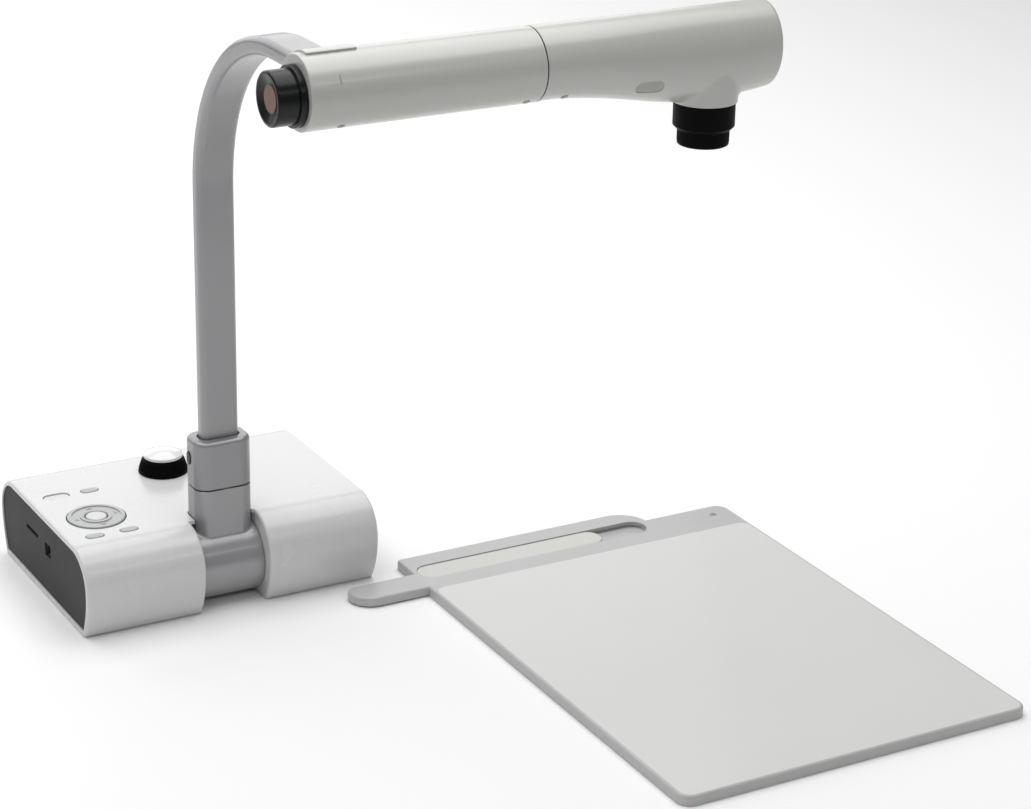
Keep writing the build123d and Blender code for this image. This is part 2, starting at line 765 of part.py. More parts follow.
# ================================================================ HEAD
boss_bottom_z = 433
lens_bore = 20
led_angle = radians(37)
led_plane = Plane(
    origin=(256, tube_y, tube_z - 5),
    x_dir=(1, 0, 0),
    z_dir=(0, -cos(led_angle), -sin(led_angle)),
)
with BuildPart() as head_shell:
    add(head_form(0, head_start_x, head_end_x))
    with BuildSketch(lens_plane.offset(boss_bottom_z)):
        Circle(25.2)
    extrude(amount=34, taper=-3)
    boss_edges = head_shell.edges().filter_by(
        lambda edge: abs(edge.center().X - lens_x) < 28
        and boss_bottom_z + 0.5 < edge.center().Z < boss_bottom_z + 22
    )
    fillet(boss_edges, radius=6)
    fillet(head_shell.edges().group_by(Axis.X)[-1], radius=4)
    add(head_form(tube_wall, 186, head_end_x - tube_wall), mode=Mode.SUBTRACT)
    with BuildSketch(tube_plane.offset(head_start_x)):
        Circle(bearing_radius)
    extrude(amount=188 - head_start_x, mode=Mode.SUBTRACT)
    with BuildSketch(lens_plane.offset(boss_bottom_z)):
        Circle(lens_bore)
    extrude(amount=25, mode=Mode.SUBTRACT)
    with BuildSketch(led_plane):
        SlotOverall(24, 11)
    extrude(amount=45, mode=Mode.SUBTRACT)
head_shell.part.label = "head_shell"
export_step(head_shell.part, "parts/head_shell.step")

# Diffusing window of the lamp, set just below the skin.
with BuildPart() as led_window:
    with BuildSketch(led_plane):
        SlotOverall(24, 11)
    extrude(amount=45)
    add(head_form(0.4, head_start_x, head_end_x), mode=Mode.INTERSECT)
    add(head_form(tube_wall, head_start_x, head_end_x), mode=Mode.SUBTRACT)
led_window.part.label = "led_window"
export_step(led_window.part, "parts/led_window.step")

with BuildPart() as led_board:
    with BuildSketch(led_plane.offset(22)):
        RectangleRounded(28, 13, 1)
    extrude(amount=board_thickness)
    with BuildSketch(led_plane.offset(22 + board_thickness)):
        with GridLocations(7, 1, 3, 1):
            Rectangle(4, 4)
    extrude(amount=1.2)
led_board.part.label = "led_board"
export_step(led_board.part, "parts/led_board.step")

# Mirror at 45 degrees over the lens.
with BuildPart() as mirror:
    with BuildSketch(Plane(origin=(lens_x, tube_y, tube_z - knob_drop), x_dir=(0, 1, 0),
                           z_dir=(1, 0, 1))):
        RectangleRounded(34, 42, 2)
    extrude(amount=2)
mirror.part.label = "mirror"
export_step(mirror.part, "parts/mirror.step")

# Fixed black lens barrel under the head.
barrel_bottom_z = 411.4
lens_front_z = 399
neck_radius = 17.4
with BuildPart() as lens_barrel:
    with BuildSketch(lens_plane.offset(barrel_bottom_z)):
        Circle(23.8)
    extrude(amount=boss_bottom_z - barrel_bottom_z)
    chamfer(lens_barrel.edges().group_by(Axis.Z)[0], length=2.6, length2=2.6)
    fillet(lens_barrel.edges().group_by(Axis.Z)[-1], radius=0.6)
    with BuildSketch(lens_plane.offset(boss_bottom_z)):
        Circle(lens_bore)
    extrude(amount=8)
    with BuildSketch(lens_plane.offset(lens_front_z + 0.8)):
        Circle(neck_radius)
    extrude(amount=barrel_bottom_z - lens_front_z - 0.8)
    with BuildSketch(lens_plane.offset(lens_front_z)):
        Circle(15)
    extrude(amount=50, mode=Mode.SUBTRACT)
lens_barrel.part.label = "lens_barrel"
export_step(lens_barrel.part, "parts/lens_barrel.step")

with BuildPart() as front_lens:
    with BuildSketch(lens_plane.offset(lens_front_z + 4)):
        Circle(15)
    extrude(amount=4)
front_lens.part.label = "front_lens"
export_step(front_lens.part, "parts/front_lens.step")

# Focus ring that turns on the lens barrel's neck.
with BuildPart() as focus_ring:
    with BuildSketch(lens_plane.offset(lens_front_z)):
        Circle(19.9)
        Circle(neck_radius + running_fit, mode=Mode.SUBTRACT)
    extrude(amount=barrel_bottom_z - lens_front_z - 0.4)
    fillet(focus_ring.edges().group_by(Axis.Z)[0].sort_by(SortBy.LENGTH)[-1], radius=1)
focus_ring.part.label = "focus_ring"
export_step(focus_ring.part, "parts/focus_ring.step")

# ================================================================ KEYS
key_flange_top_z = base_height - wall - 0.3
key_stem_z = key_board_z + board_thickness + switch_height + 1.0
key_specs = (
    ("power_button", key_points[0], 22, 11, base_height - 0.8),
    ("lamp_button", key_points[1], 15, 8, base_height + 0.6),
    ("freeze_button", key_points[2], 15, 8, base_height + 0.6),
    ("menu_button", key_points[3], 15, 8, base_height + 0.6),
)
for key_name, key_point, key_long, key_short, key_top_z in key_specs:
    with BuildPart() as key:
        with BuildSketch(Plane.XY.offset(key_flange_top_z)):
            with Locations(key_point):
                SlotOverall(key_long, key_short)
        extrude(amount=key_top_z - key_flange_top_z)
        fillet(key.edges().group_by(Axis.Z)[-1], radius=0.8)
        with BuildSketch(Plane.XY.offset(key_flange_top_z - 1.5)):
            with Locations(key_point):
                SlotOverall(key_long + 3, key_short + 3)
        extrude(amount=1.5)
        with BuildSketch(Plane.XY.offset(key_stem_z)):
            with Locations(key_point):
                Circle(1.5)
        extrude(amount=key_flange_top_z - 1.5 - key_stem_z)
    key.part.label = key_name
    export_step(key.part, f"parts/{key_name}.step")

# Menu pad: a ring that rocks four ways on a gimbal, round a centre key.
gimbal_z = 64.5
ring_bottom_z = 66.2
ring_bore = 9.5
with BuildPart() as pad_gimbal:
    with BuildSketch(Plane.XY.offset(gimbal_z - 0.9)):
        with Locations((key_x, pad_y)):
            Circle(14.5)
            Circle(ring_bore + 0.5, mode=Mode.SUBTRACT)
    extrude(amount=1.8)
pad_gimbal.part.label = "pad_gimbal"
export_step(pad_gimbal.part, "parts/pad_gimbal.step")

with BuildPart() as pad_ring:
    with BuildSketch(Plane.XY.offset(ring_bottom_z)):
        with Locations((key_x, pad_y)):
            Circle(pad_radius)
            Circle(ring_bore, mode=Mode.SUBTRACT)
    extrude(amount=base_height + 1.2 - ring_bottom_z)
    fillet(pad_ring.edges().group_by(Axis.Z)[-1], radius=1)
    with BuildSketch(Plane.XY.offset(base_height + 0.4)):
        with Locations((key_x, pad_y)):
            Circle(pad_radius - 3.5)
            Circle(ring_bore + 3.5, mode=Mode.SUBTRACT)
    extrude(amount=2, mode=Mode.SUBTRACT)
    with BuildSketch(Plane.XY.offset(ring_bottom_z)):
        with Locations((key_x, pad_y)):
            Circle(pad_radius + 2)
            Circle(pad_radius, mode=Mode.SUBTRACT)
    extrude(amount=1.3)
pad_ring.part.label = "pad_ring"
export_step(pad_ring.part, "parts/pad_ring.step")

with BuildPart() as pad_centre:
    with BuildSketch(Plane.XY.offset(key_stem_z)):
        with Locations((key_x, pad_y)):
            Circle(ring_bore - 1)
    extrude(amount=base_height + 1.2 - key_stem_z)
    fillet(pad_centre.edges().group_by(Axis.Z)[-1], radius=1)
pad_centre.part.label = "pad_centre"
export_step(pad_centre.part, "parts/pad_centre.step")

# Zoom dial: black skirt turning on the encoder, with a white push cap.
skirt_bottom_z = base_height + 0.7
skirt_top_z = 84.5
cap_bottom_z = 85.6
cap_top_z = 92
cap_radius = 16.4
cap_stem = 6
with BuildPart() as zoom_dial:
    with BuildSketch(Plane.XY.offset(skirt_bottom_z)):
        with Locations((dial_x, dial_y)):
            Circle(dial_radius)
    extrude(amount=skirt_top_z - skirt_bottom_z, taper=18.5)
    fillet(zoom_dial.edges().group_by(Axis.Z)[-1], radius=0.8)
    with BuildSketch(Plane.XY.offset(encoder_top_z + 0.8)):
        with Locations((dial_x, dial_y)):
            Circle(9.4)
    extrude(amount=skirt_bottom_z - encoder_top_z - 0.8)
    with BuildSketch(Plane.XY.offset(encoder_top_z)):
        with Locations((dial_x, dial_y)):
            Circle(3 + running_fit)
    extrude(amount=8, mode=Mode.SUBTRACT)
    with BuildSketch(Plane.XY.offset(encoder_top_z + 8)):
        with Locations((dial_x, dial_y)):
            Circle(cap_stem + 0.4)
    extrude(amount=12, mode=Mode.SUBTRACT)
zoom_dial.part.label = "zoom_dial"
export_step(zoom_dial.part, "parts/zoom_dial.step")

dome_radius = 34
with BuildPart() as af_button:
    with BuildSketch(Plane.XY.offset(cap_bottom_z)):
        with Locations((dial_x, dial_y)):
            Circle(cap_radius)
    extrude(amount=cap_top_z - cap_bottom_z)
    with Locations((dial_x, dial_y, cap_top_z - dome_radius)):
        Sphere(dome_radius, mode=Mode.INTERSECT)
    with BuildSketch(Plane.XY.offset(encoder_top_z + 10)):
        with Locations((dial_x, dial_y)):
            Circle(cap_stem)
    extrude(amount=cap_bottom_z - encoder_top_z - 10)
af_button.part.label = "af_button"
export_step(af_button.part, "parts/af_button.step")

# ================================================================ STAGE BOARD
stage_mid_x = (stage_left_x + stage_right_x) / 2
bar_mid_y = (bar_back_y + bar_front_y) / 2
bar_width = bar_back_y - bar_front_y
channel_floor_z = 3.4
channel_lip_z = 5.8
channel_undercut = 1.5
panel_inset = 2.6
stage_panel_thickness = 2
stage_rounding = 2.0
stage_panel_length = panel_back_y - stage_front_y - panel_inset
pad_points = [(x, y) for x in (stage_left_x + 14, stage_right_x - 14) for y in (-520, -175)]
stage_screw_point = (442.5, -125.5)
with BuildPart() as stage_tray:
    with BuildSketch():
        with Locations((stage_mid_x, (stage_front_y + stage_back_y) / 2)):
            RectangleRounded(
                stage_right_x - stage_left_x,
                stage_back_y - stage_front_y,
                stage_corner,
            )
        # Wider back edge behind the channel
        with BuildLine():
            left = Line((stage_left_x, panel_back_y), (stage_left_x, stage_rear_y - 3))
            corner = TangentArc(left @ 1, (stage_left_x + 3, stage_rear_y), tangent=(0, 1))
            rear = Line(corner @ 1, (stage_bulge_x, stage_rear_y))
            bulge = TangentArc(rear @ 1, (stage_bulge_x + 27, stage_back_y), tangent=(1, 0))
            Polyline(bulge @ 1, (stage_bulge_x + 27, panel_back_y), left @ 0)
        make_face()
        # Tongue that locates the board beside the base
        with BuildLine():
            tab_back = Line((stage_left_x + 5, tongue_back_y), (tongue_left_x + 9, tongue_back_y))
            tip = TangentArc(tab_back @ 1, (tongue_left_x, tongue_back_y - 9), tangent=(-1, 0))
            nose = TangentArc(tip @ 1, (tongue_left_x + 22, tongue_front_y), tangent=(0, -1))
            Polyline(nose @ 1, (stage_left_x + 5, tongue_front_y), tab_back @ 0)
        make_face()
    extrude(amount=stage_thickness)
    fillet(stage_tray.edges().group_by(Axis.Z)[-1], radius=stage_rounding)
    # The tongue stands clear of the table
    with Locations((tongue_left_x, tongue_front_y, 0)):
        Box(
            stage_left_x - tongue_left_x,
            60,
            tongue_lift,
            align=(Align.MIN, Align.CENTER, Align.MIN),
            mode=Mode.SUBTRACT,
        )
    # Underside hollows between ribs
    with BuildSketch():
        with Locations((stage_mid_x, (stage_front_y + panel_back_y) / 2)):
            with GridLocations(101, 1, 3, 1):
                Rectangle(95, panel_back_y - stage_front_y - 36)
    extrude(amount=stage_thickness - 4.5, mode=Mode.SUBTRACT)
    # Recess for the white panel
    with BuildSketch(Plane.XY.offset(stage_thickness - stage_panel_thickness)):
        with Locations((stage_mid_x, stage_front_y + panel_inset + stage_panel_length / 2)):
            RectangleRounded(
                stage_right_x - stage_left_x - 2 * panel_inset,
                stage_panel_length,
                stage_corner - panel_inset,
            )
    extrude(amount=stage_panel_thickness, mode=Mode.SUBTRACT)
    # Channel with lips that the bar slides in
    with BuildSketch(Plane.XY.offset(channel_floor_z)):
        with Locations(((stage_left_x + 4 + channel_right_x) / 2, bar_mid_y)):
            RectangleRounded(
                channel_right_x - stage_left_x - 4,
                bar_width + 2 * channel_undercut,
                bar_width / 2,
            )
    extrude(amount=channel_lip_z - channel_floor_z, mode=Mode.SUBTRACT)
    with BuildSketch(Plane.XY.offset(channel_lip_z)):
        with Locations(((stage_left_x + 4 + channel_right_x) / 2, bar_mid_y)):
            RectangleRounded(channel_right_x - stage_left_x - 4, bar_width, bar_width / 2 - 0.1)
    extrude(amount=stage_thickness, mode=Mode.SUBTRACT)
    with BuildSketch():
        with Locations(*pad_points):
            Circle(7)
    extrude(amount=1.2, mode=Mode.SUBTRACT)
    with BuildSketch(Plane.XY.offset(stage_thickness - 3)):
        with Locations(stage_screw_point):
            Circle(3.2)
    extrude(amount=3, mode=Mode.SUBTRACT)
stage_tray.part.label = "stage_tray"
export_step(stage_tray.part, "parts/stage_tray.step")

with BuildPart() as stage_panel:
    with BuildSketch(Plane.XY.offset(stage_thickness - stage_panel_thickness)):
        with Locations((stage_mid_x, stage_front_y + panel_inset + stage_panel_length / 2)):
            RectangleRounded(
                stage_right_x - stage_left_x - 2 * panel_inset,
                stage_panel_length,
                stage_corner - panel_inset,
            )
    extrude(amount=stage_panel_thickness)
stage_panel.part.label = "stage_panel"
export_step(stage_panel.part, "parts/stage_panel.step")

with BuildPart() as stage_pads:
    with BuildSketch():
        with Locations(*pad_points):
            Circle(7)
    extrude(amount=1.2)
stage_pads.part.label = "stage_pads"
export_step(stage_pads.part, "parts/stage_pads.step")

with BuildPart() as stage_screw:
    with BuildSketch(Plane.XY.offset(stage_thickness - 3)):
        with Locations(stage_screw_point):
            Circle(3.2)
    extrude(amount=2.7)
    with Locations((*stage_screw_point, stage_thickness - 0.3)):
        Box(4.4, 0.9, 1.2, mode=Mode.SUBTRACT)
stage_screw.part.label = "stage_screw"
export_step(stage_screw.part, "parts/stage_screw.step")

# Light bar that slides along the channel, held down by its lower flange.
bar_left_x = stage_left_x + 4 + stage_fit
with BuildPart() as slide_bar:
    with BuildSketch(Plane.XY.offset(channel_floor_z + 0.2)):
        with Locations(((bar_left_x + bar_right_x) / 2, bar_mid_y)):
            RectangleRounded(
                bar_right_x - bar_left_x,
                bar_width + 2 * channel_undercut - 2 * stage_fit,
                bar_width / 2,
            )
    extrude(amount=channel_lip_z - channel_floor_z - 0.5)
    with BuildSketch(Plane.XY.offset(channel_lip_z - 0.3)):
        with Locations(((bar_left_x + bar_right_x) / 2, bar_mid_y)):
            RectangleRounded(
                bar_right_x - bar_left_x,
                bar_width - 2 * stage_fit,
                bar_width / 2 - 1,
            )
    extrude(amount=stage_thickness - channel_lip_z - 0.3)
    fillet(slide_bar.edges().group_by(Axis.Z)[-1], radius=0.8)
slide_bar.part.label = "slide_bar"
export_step(slide_bar.part, "parts/slide_bar.step")
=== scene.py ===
import bmesh
import bpy
from math import cos, pi, radians, sin, tan
from mathutils import Matrix, Vector


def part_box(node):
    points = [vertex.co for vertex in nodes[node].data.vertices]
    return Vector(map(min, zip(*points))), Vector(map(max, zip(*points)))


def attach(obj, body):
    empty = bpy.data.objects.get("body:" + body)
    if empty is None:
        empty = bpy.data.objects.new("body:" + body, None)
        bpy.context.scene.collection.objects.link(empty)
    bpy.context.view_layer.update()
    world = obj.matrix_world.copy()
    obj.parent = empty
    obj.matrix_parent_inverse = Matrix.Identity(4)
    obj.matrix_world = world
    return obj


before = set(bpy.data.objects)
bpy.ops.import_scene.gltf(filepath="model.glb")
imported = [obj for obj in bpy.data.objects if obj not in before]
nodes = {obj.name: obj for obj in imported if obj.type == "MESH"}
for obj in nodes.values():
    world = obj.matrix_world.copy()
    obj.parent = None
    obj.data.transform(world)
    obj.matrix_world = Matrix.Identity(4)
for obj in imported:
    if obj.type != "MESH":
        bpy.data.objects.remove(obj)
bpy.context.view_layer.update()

# Camera: angles in degrees, lens and sensor in millimetres, place in metres.
CAMERA_YAW = 28.832
CAMERA_PITCH = 21.559
CAMERA_ROLL = 0.956
CAMERA_LENS = 97.77
CAMERA_SENSOR = 36
CAMERA_SHIFT = (0.0344, -0.0044)
CAMERA_PLACE = (-0.8192, -1.9912, 0.9989)
CAMERA_REACH = 50

# Plastic: share of the colour left in its darker drift, and how the gloss wanders.
DRIFT_SHADE = 0.975
SMEAR_LOW = 0.95
SMEAR_HIGH = 1.1
WORN_GAIN = 1.5
WORN_LIFT = 0.03
WEAR_START = 0.56
WEAR_FULL = 0.72
COAT_ROUGHNESS = 0.08
GRAIN_DEPTH = 0.0004

# Metal: share of the colour left in its stains, and how the gloss wanders along the lines.
STAIN_SHADE = 0.72
LINE_LOW = 0.8
LINE_HIGH = 1.3
LINE_DEPTH = 0.0003

# Small pieces, in metres.
TUBE_RADIUS = 0.028
RIB_WIDTH = 0.0009
RIB_HEIGHT = 0.0008
RIB_ROUNDING = 0.00025
DIAL_RIBS = 72
DIAL_SKIRT_LIFT = 0.0028
DIAL_TOP_MARGIN = 0.0018
DIAL_RIB_SINK = 0.0007
DIAL_SLOPE = 18.5
FOCUS_RIBS = 60
FOCUS_RIB_SINK = 0.0002
FOCUS_LOW_MARGIN = 0.0025
FOCUS_TOP_MARGIN = 0.0015
POINTER_TIP = 0.0185
POINTER_FOOT = 0.0155
POINTER_HALF_WIDTH = 0.0026
POINTER_DEPTH = 0.0008
POINTER_BELOW = 0.0002
POINTER_ABOVE = 0.00025
POINTER_TAPER = 0.995
PLUG_DOME = (
    (0.0030, -0.0010),
    (0.0030, 0.0001),
    (0.0027, 0.0004),
    (0.0018, 0.0006),
    (0.0008, 0.00065),
)
PLUG_TILT = -58
TUBE_PLUG_INSETS = (0.028, 0.010)
HEAD_PLUG_OFFSET = 0.022
TICK_INSET = 0.023
TICK_START = 21
TICK_SWEEP = 14
TICK_STEPS = 8
TICK_SECTION = (
    (-0.0006, -0.0003),
    (-0.0006, 0.00008),
    (0.0006, 0.00008),
    (0.0006, -0.0003),
)

# Floor.
FLOOR_HALF_SIDE = 8
FLOOR_DROP = 0.0002


# ---------------------------------------------------------------- camera
def add_camera():
    """Long lens from the front left and above."""
    yaw = radians(CAMERA_YAW)
    pitch = radians(CAMERA_PITCH)
    roll = radians(CAMERA_ROLL)
    forward = Vector((sin(yaw) * cos(pitch), cos(yaw) * cos(pitch), -sin(pitch)))
    right = Vector((cos(yaw), -sin(yaw), 0))
    down = forward.cross(right)
    across = right * cos(roll) - down * sin(roll)
    below = right * sin(roll) + down * cos(roll)
    turn = Matrix((across, -below, -forward)).transposed()
    data = bpy.data.cameras.new("camera")
    data.sensor_width = CAMERA_SENSOR
    data.lens = CAMERA_LENS
    data.shift_x, data.shift_y = CAMERA_SHIFT
    data.clip_end = CAMERA_REACH
    camera = bpy.data.objects.new("camera", data)
    camera.matrix_world = Matrix.Translation(CAMERA_PLACE) @ turn.to_4x4()
    bpy.context.scene.collection.objects.link(camera)
    bpy.context.scene.camera = camera


# ---------------------------------------------------------------- node helpers
def new_material(name):
    """Empty material with its Principled shader."""
    material = bpy.data.materials.new(name)
    material.use_nodes = True
    return material, material.node_tree, material.node_tree.nodes["Principled BSDF"]


def link(tree, source, target):
    """Joins an output socket to an input socket."""
    tree.links.new(source, target)


def coordinates(tree, scale):
    """Object coordinates, stretched by scale."""
    texture = tree.nodes.new("ShaderNodeTexCoord")
    mapping = tree.nodes.new("ShaderNodeMapping")
    mapping.inputs["Scale"].default_value = scale
    link(tree, texture.outputs["Object"], mapping.inputs["Vector"])
    return mapping.outputs["Vector"]


def noise(tree, vector, scale, detail=4.0, rough=0.55):
    """Soft random pattern, about 0 to 1."""
    node = tree.nodes.new("ShaderNodeTexNoise")
    node.inputs["Scale"].default_value = scale
    node.inputs["Detail"].default_value = detail
    node.inputs["Roughness"].default_value = rough
    link(tree, vector, node.inputs["Vector"])
    return node.outputs["Fac"]


def spread(tree, value, low, high, out_low, out_high):
    """Maps a value from one range to another."""
    node = tree.nodes.new("ShaderNodeMapRange")
    node.inputs["From Min"].default_value = low
    node.inputs["From Max"].default_value = high
    node.inputs["To Min"].default_value = out_low
    node.inputs["To Max"].default_value = out_high
    link(tree, value, node.inputs["Value"])
    return node.outputs["Result"]


def blend_colour(tree, factor, first, second):
    """Blends two colours, each a plain triple or a socket, by a factor."""
    node = tree.nodes.new("ShaderNodeMix")
    node.data_type = "RGBA"
    for socket, colour in ((6, first), (7, second)):
        if isinstance(colour, tuple):
            node.inputs[socket].default_value = (*colour, 1)
        else:
            link(tree, colour, node.inputs[socket])
    link(tree, factor, node.inputs[0])
    return node.outputs[2]


def bump(tree, shader, height, strength, distance):
    """Fine relief, with its depth in metres."""
    node = tree.nodes.new("ShaderNodeBump")
    node.inputs["Strength"].default_value = strength
    node.inputs["Distance"].default_value = distance
    link(tree, height, node.inputs["Height"])
    link(tree, node.outputs["Normal"], shader.inputs["Normal"])


def edge_wear(tree, low, high):
    """Near 1 on sharp outer edges, 0 elsewhere."""
    geometry = tree.nodes.new("ShaderNodeNewGeometry")
    return spread(tree, geometry.outputs["Pointiness"], low, high, 0.0, 1.0)


def plastic(
    name,
    colour,
    rough,
    grain=0.05,
    grain_scale=60,
    coat=0.0,
    wear=0.0,
    metallic=0.0,
    gloss=0.5,
):
    """Moulded or painted part: colour drift, handling marks, fine grain, rubbed edges."""
    material, tree, shader = new_material(name)
    vector = coordinates(tree, (1, 1, 1))
    shade = tuple(value * DRIFT_SHADE for value in colour)
    drift = spread(tree, noise(tree, vector, 7, 2), 0.2, 0.8, 0, 1)
    base = blend_colour(tree, drift, colour, shade)
    if wear:
        lighter = tuple(min(1, value * WORN_GAIN + WORN_LIFT) for value in colour)
        rubbed = spread(tree, edge_wear(tree, WEAR_START, WEAR_FULL), 0, 1, 0, wear)
        base = blend_colour(tree, rubbed, base, lighter)
    link(tree, base, shader.inputs["Base Color"])
    smears = noise(tree, vector, 18, 2, 0.4)
    gloss_drift = spread(tree, smears, 0.2, 0.8, rough * SMEAR_LOW, rough * SMEAR_HIGH)
    link(tree, gloss_drift, shader.inputs["Roughness"])
    shader.inputs["Metallic"].default_value = metallic
    shader.inputs["Specular IOR Level"].default_value = gloss
    shader.inputs["Coat Weight"].default_value = coat
    shader.inputs["Coat Roughness"].default_value = COAT_ROUGHNESS
    bump(tree, shader, noise(tree, vector, grain_scale, 2), grain, GRAIN_DEPTH)
    return material


def metal(name, colour, rough, along=(1, 1, 1), strength=0.15, metallic=1.0):
    """Metal with fine drawn or turned lines and small stains."""
    material, tree, shader = new_material(name)
    lines = noise(tree, coordinates(tree, along), 300, 4)
    stains = noise(tree, coordinates(tree, (1, 1, 1)), 25, 6, 0.65)
    darker = tuple(value * STAIN_SHADE for value in colour)
    stained = blend_colour(tree, spread(tree, stains, 0.4, 0.75, 0, 1), colour, darker)
    link(tree, stained, shader.inputs["Base Color"])
    gloss_drift = spread(tree, lines, 0.3, 0.7, rough * LINE_LOW, rough * LINE_HIGH)
    link(tree, gloss_drift, shader.inputs["Roughness"])
    shader.inputs["Metallic"].default_value = metallic
    bump(tree, shader, lines, strength, LINE_DEPTH)
    return material


# ---------------------------------------------------------------- materials
white_shell = plastic("white_shell", (0.665, 0.665, 0.67), 0.26, 0.03, 40, coat=0.25)
pearl_tube = plastic("pearl_tube", (0.52, 0.52, 0.50), 0.3, 0.03, 40, coat=0.25, metallic=0.08)
arm_paint = plastic("arm_paint", (0.33, 0.33, 0.34), 0.3, 0.1, 2600, 0.25, 0.15, 0.35)
collar_paint = plastic("collar_paint", (0.30, 0.30, 0.31), 0.3, 0.1, 2600, 0.25, 0.15, 0.35)
panel_dark = plastic("panel_dark", (0.032, 0.032, 0.034), 0.6, 0.5, 900, 0, 0.1, gloss=0.3)
black_knob = plastic("black_knob", (0.004, 0.005, 0.005), 0.25, 0.1, 2200, gloss=0.3)
black_matte = plastic("black_matte", (0.003, 0.003, 0.003), 0.5, 0.15, 2200, gloss=0.06)
key_grey = plastic("key_grey", (0.42, 0.42, 0.425), 0.35, 0.15, 2200, 0.1, 0.1)
key_ring = plastic("key_ring", (0.42, 0.425, 0.43), 0.3, 0.1, 2200, 0.2, 0.1)
key_light = plastic("key_light", (0.62, 0.62, 0.62), 0.28, 0.05, 2200, 0.2, 0.1)
cap_white = plastic("cap_white", (0.80, 0.80, 0.80), 0.22, 0.03, 90, 0.5)
natural = plastic("bearing_plastic", (0.5, 0.5, 0.46), 0.45, 0.1, 900, 0, 0.2)
rubber = plastic("rubber", (0.03, 0.03, 0.03), 0.75, 0.5, 900, 0, 0.2)
stage_grey = plastic("stage_grey", (0.47, 0.475, 0.47), 0.38, 0.15, 1600, 0.1, 0.1)
stage_white = plastic("stage_white", (0.65, 0.655, 0.64), 0.42, 0.15, 1300, 0.1)
bar_light = plastic("bar_light", (0.53, 0.54, 0.51), 0.28, 0.05, 1300, 0.25)
lamp_frost = plastic("lamp_frost", (0.36, 0.37, 0.34), 0.35, 0.4, 900, 0.2, 0.1)
brown_window = plastic("brown_window", (0.19, 0.085, 0.06), 0.2, 0.02, 60, 0.1, gloss=0.12)
board_green = plastic("board_green", (0.015, 0.10, 0.045), 0.3, 0.2, 700, 0.2, 0.5)
mark_grey = plastic("mark_grey", (0.33, 0.33, 0.335), 0.4, 0.05, 900)
steel = metal("steel", (0.55, 0.55, 0.56), 0.3, (1, 8, 8))
zinc = metal("zinc_plate", (0.42, 0.43, 0.44), 0.38, (2, 8, 2), 0.1, 0.6)
brass = metal("brass", (0.72, 0.53, 0.22), 0.28, (1, 9, 9))
socket_metal = metal("socket_metal", (0.55, 0.55, 0.55), 0.3, (1, 9, 9))
socket_dark = metal("socket_dark", (0.10, 0.10, 0.10), 0.4, (1, 9, 9))


def make_mirror():
    """Front-silvered glass with faint dust."""
    material, tree, shader = new_material("silvered_glass")
    dust = noise(tree, coordinates(tree, (1, 1, 1)), 120, 6)
    silver = blend_colour(tree, dust, (0.86, 0.87, 0.88), (0.78, 0.79, 0.8))
    link(tree, silver, shader.inputs["Base Color"])
    link(tree, spread(tree, dust, 0.4, 0.8, 0.02, 0.09), shader.inputs["Roughness"])
    shader.inputs["Metallic"].default_value = 1
    return material


def make_lens():
    """Coated front glass, dark with a violet cast."""
    material, tree, shader = new_material("coated_glass")
    cloud = noise(tree, coordinates(tree, (1, 1, 1)), 30, 2)
    tint = blend_colour(tree, cloud, (0.012, 0.012, 0.03), (0.04, 0.022, 0.07))
    link(tree, tint, shader.inputs["Base Color"])
    specks = noise(tree, coordinates(tree, (1, 1, 1)), 400, 3)
    link(tree, spread(tree, specks, 0.5, 0.8, 0.02, 0.06), shader.inputs["Roughness"])
    shader.inputs["Coat Weight"].default_value = 1
    shader.inputs["Coat Roughness"].default_value = 0.02
    return material


materials = {
    "upper_cover": white_shell,
    "bottom_plate": zinc,
    "rubber_feet": rubber,
    "bottom_screws": steel,
    "left_end_panel": panel_dark,
    "right_end_panel": panel_dark,
    "ballast_plate": steel,
    "main_board": board_green,
    "sd_card_socket": socket_dark,
    "usb_socket": socket_dark,
    "video_sockets": socket_metal,
    "hdmi_socket": socket_metal,
    "power_socket": black_knob,
    "key_board": board_green,
    "dial_encoder": steel,
    "hinge_brackets": zinc,
    "hinge_axle": steel,
    "disc_springs": steel,
    "axle_nut": steel,
    "hinge_barrel": arm_paint,
    "barrel_bushes": brass,
    "swivel_bush": brass,
    "swivel_washer": natural,
    "upper_collar": collar_paint,
    "arm_strap": arm_paint,
    "swivel_spindle": steel,
    "spindle_nut": steel,
    "rear_tube": pearl_tube,
    "arm_saddle": pearl_tube,
    "arm_anchor": steel,
    "bearing_ring": natural,
    "seam_washer": black_knob,
    "release_button": black_knob,
    "image_knob": black_knob,
    "ir_window": brown_window,
    "camera_block": panel_dark,
    "head_shell": pearl_tube,
    "led_window": lamp_frost,
    "led_board": board_green,
    "mirror": make_mirror(),
    "lens_barrel": black_matte,
    "front_lens": make_lens(),
    "focus_ring": black_matte,
    "power_button": key_light,
    "lamp_button": key_grey,
    "freeze_button": key_grey,
    "menu_button": key_grey,
    "pad_gimbal": natural,
    "pad_ring": key_ring,
    "pad_centre": key_light,
    "zoom_dial": black_matte,
    "af_button": cap_white,
    "stage_tray": stage_grey,
    "stage_panel": stage_white,
    "stage_pads": rubber,
    "stage_screw": steel,
    "slide_bar": bar_light,
}


def dress_nodes():
    """Gives each CAD node its one material."""
    for name, material in materials.items():
        data = nodes[name].data
        data.materials.clear()
        data.materials.append(material)
        for polygon in data.polygons:
            polygon.material_index = 0


# ---------------------------------------------------------------- small pieces
def add_piece(name, mesh, material, body, smooth=False):
    """Puts a finished mesh in the scene, riding on a body."""
    data = bpy.data.meshes.new(name)
    mesh.to_mesh(data)
    mesh.free()
    for polygon in data.polygons:
        polygon.use_smooth = smooth
    data.materials.append(material)
    piece = bpy.data.objects.new(name, data)
    bpy.context.scene.collection.objects.link(piece)
    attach(piece, body)


